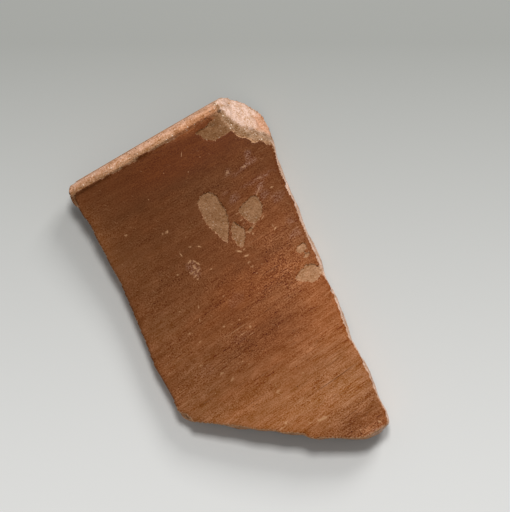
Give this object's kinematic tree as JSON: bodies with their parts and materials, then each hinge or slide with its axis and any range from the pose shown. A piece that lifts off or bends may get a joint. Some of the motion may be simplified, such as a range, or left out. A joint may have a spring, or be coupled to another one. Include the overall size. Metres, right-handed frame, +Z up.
{
  "type": "pottery rim sherd",
  "caption": "Broken rim piece of a wheel-made clay pot: curved wall with a rounded lip, red-brown slip flaked off in windows, lying on its hollow side.",
  "frame": {"origin": "under the middle of the sherd's box, on the surface that the sherd lies on", "axes": "+Z up, out of the outer face of the pot; +Y from the broken foot towards the lip; +X along the lip, to the right as seen from above"},
  "size_m": [0.0552, 0.092, 0.0125],
  "materials": {
    "fired_clay": "matte",
    "red_slip": "satin"
  },
  "bodies": {
    "root": {"clay_wall": "fired_clay", "outer_slip_coat": "red_slip", "rim_slip_coat": "red_slip"}
  },
  "joints": []
}
